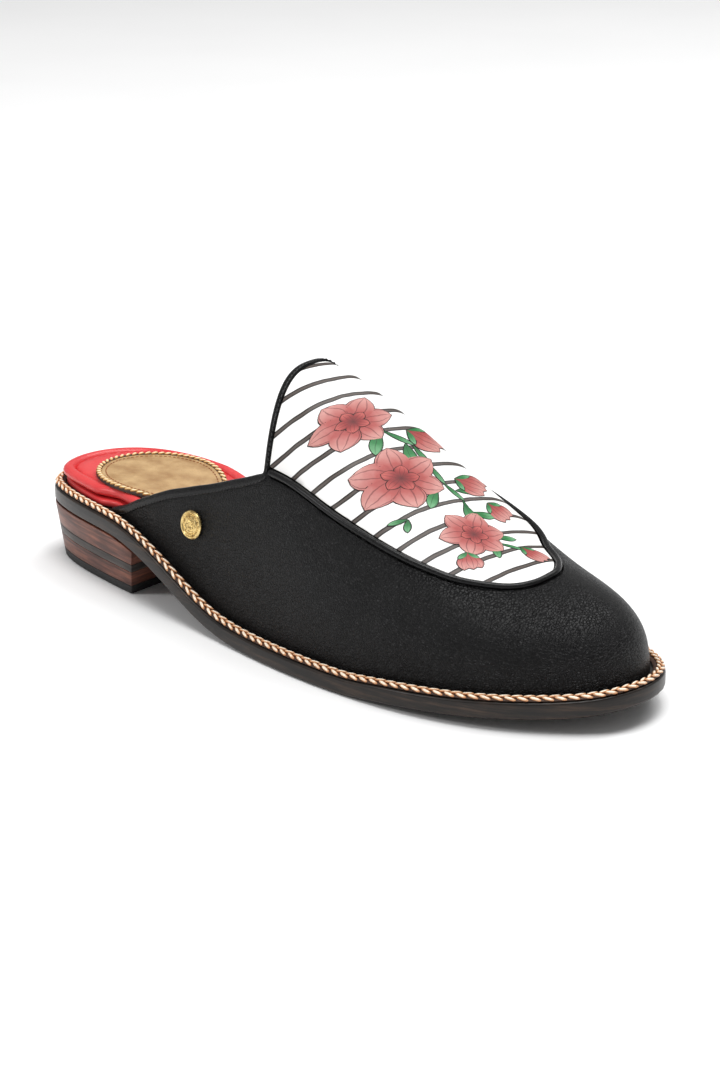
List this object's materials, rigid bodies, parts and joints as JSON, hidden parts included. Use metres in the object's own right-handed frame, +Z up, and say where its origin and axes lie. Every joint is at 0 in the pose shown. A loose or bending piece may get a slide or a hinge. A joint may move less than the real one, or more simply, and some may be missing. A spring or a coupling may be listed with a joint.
{
  "type": "babouche slipper",
  "caption": "Backless leather slip-on shoe with a high round tongue, set-in plug, plaited welt, padded footbed and low stacked heel.",
  "frame": {"origin": "middle of the shoe's bounding box, on the floor", "axes": "+X from the heel to the toe, -Y towards the outer side of the foot, +Z up"},
  "size_m": [0.2534, 0.0896, 0.0877],
  "materials": {
    "sole_leather": "dyed edge, satin",
    "heel_rubber": "moulded, matt",
    "stacked_leather": "stacked and streaked, satin",
    "spacer_leather": "stacked, satin",
    "plaited_welt": "plaited cord, copper and cream",
    "red_leather": "smooth, soft gloss",
    "tan_leather": "vegetable tanned, matt",
    "black_leather": "fine grain, soft sheen",
    "plug_fabric": "printed panel, satin",
    "gold_metal": "polished"
  },
  "bodies": {
    "root": {"outsole": "sole_leather", "heel_top_piece": "heel_rubber", "heel_lower_lift": "stacked_leather", "heel_spacer": "spacer_leather", "heel_upper_lift": "stacked_leather", "welt": "plaited_welt", "insole_board": "red_leather", "footbed": "red_leather", "heel_patch": "tan_leather", "upper": "black_leather", "vamp_plug": "plug_fabric", "plug_piping": "black_leather", "tongue_binding": "black_leather", "topline_binding_outer": "black_leather", "topline_binding_inner": "black_leather", "side_stud": "gold_metal"}
  },
  "joints": []
}
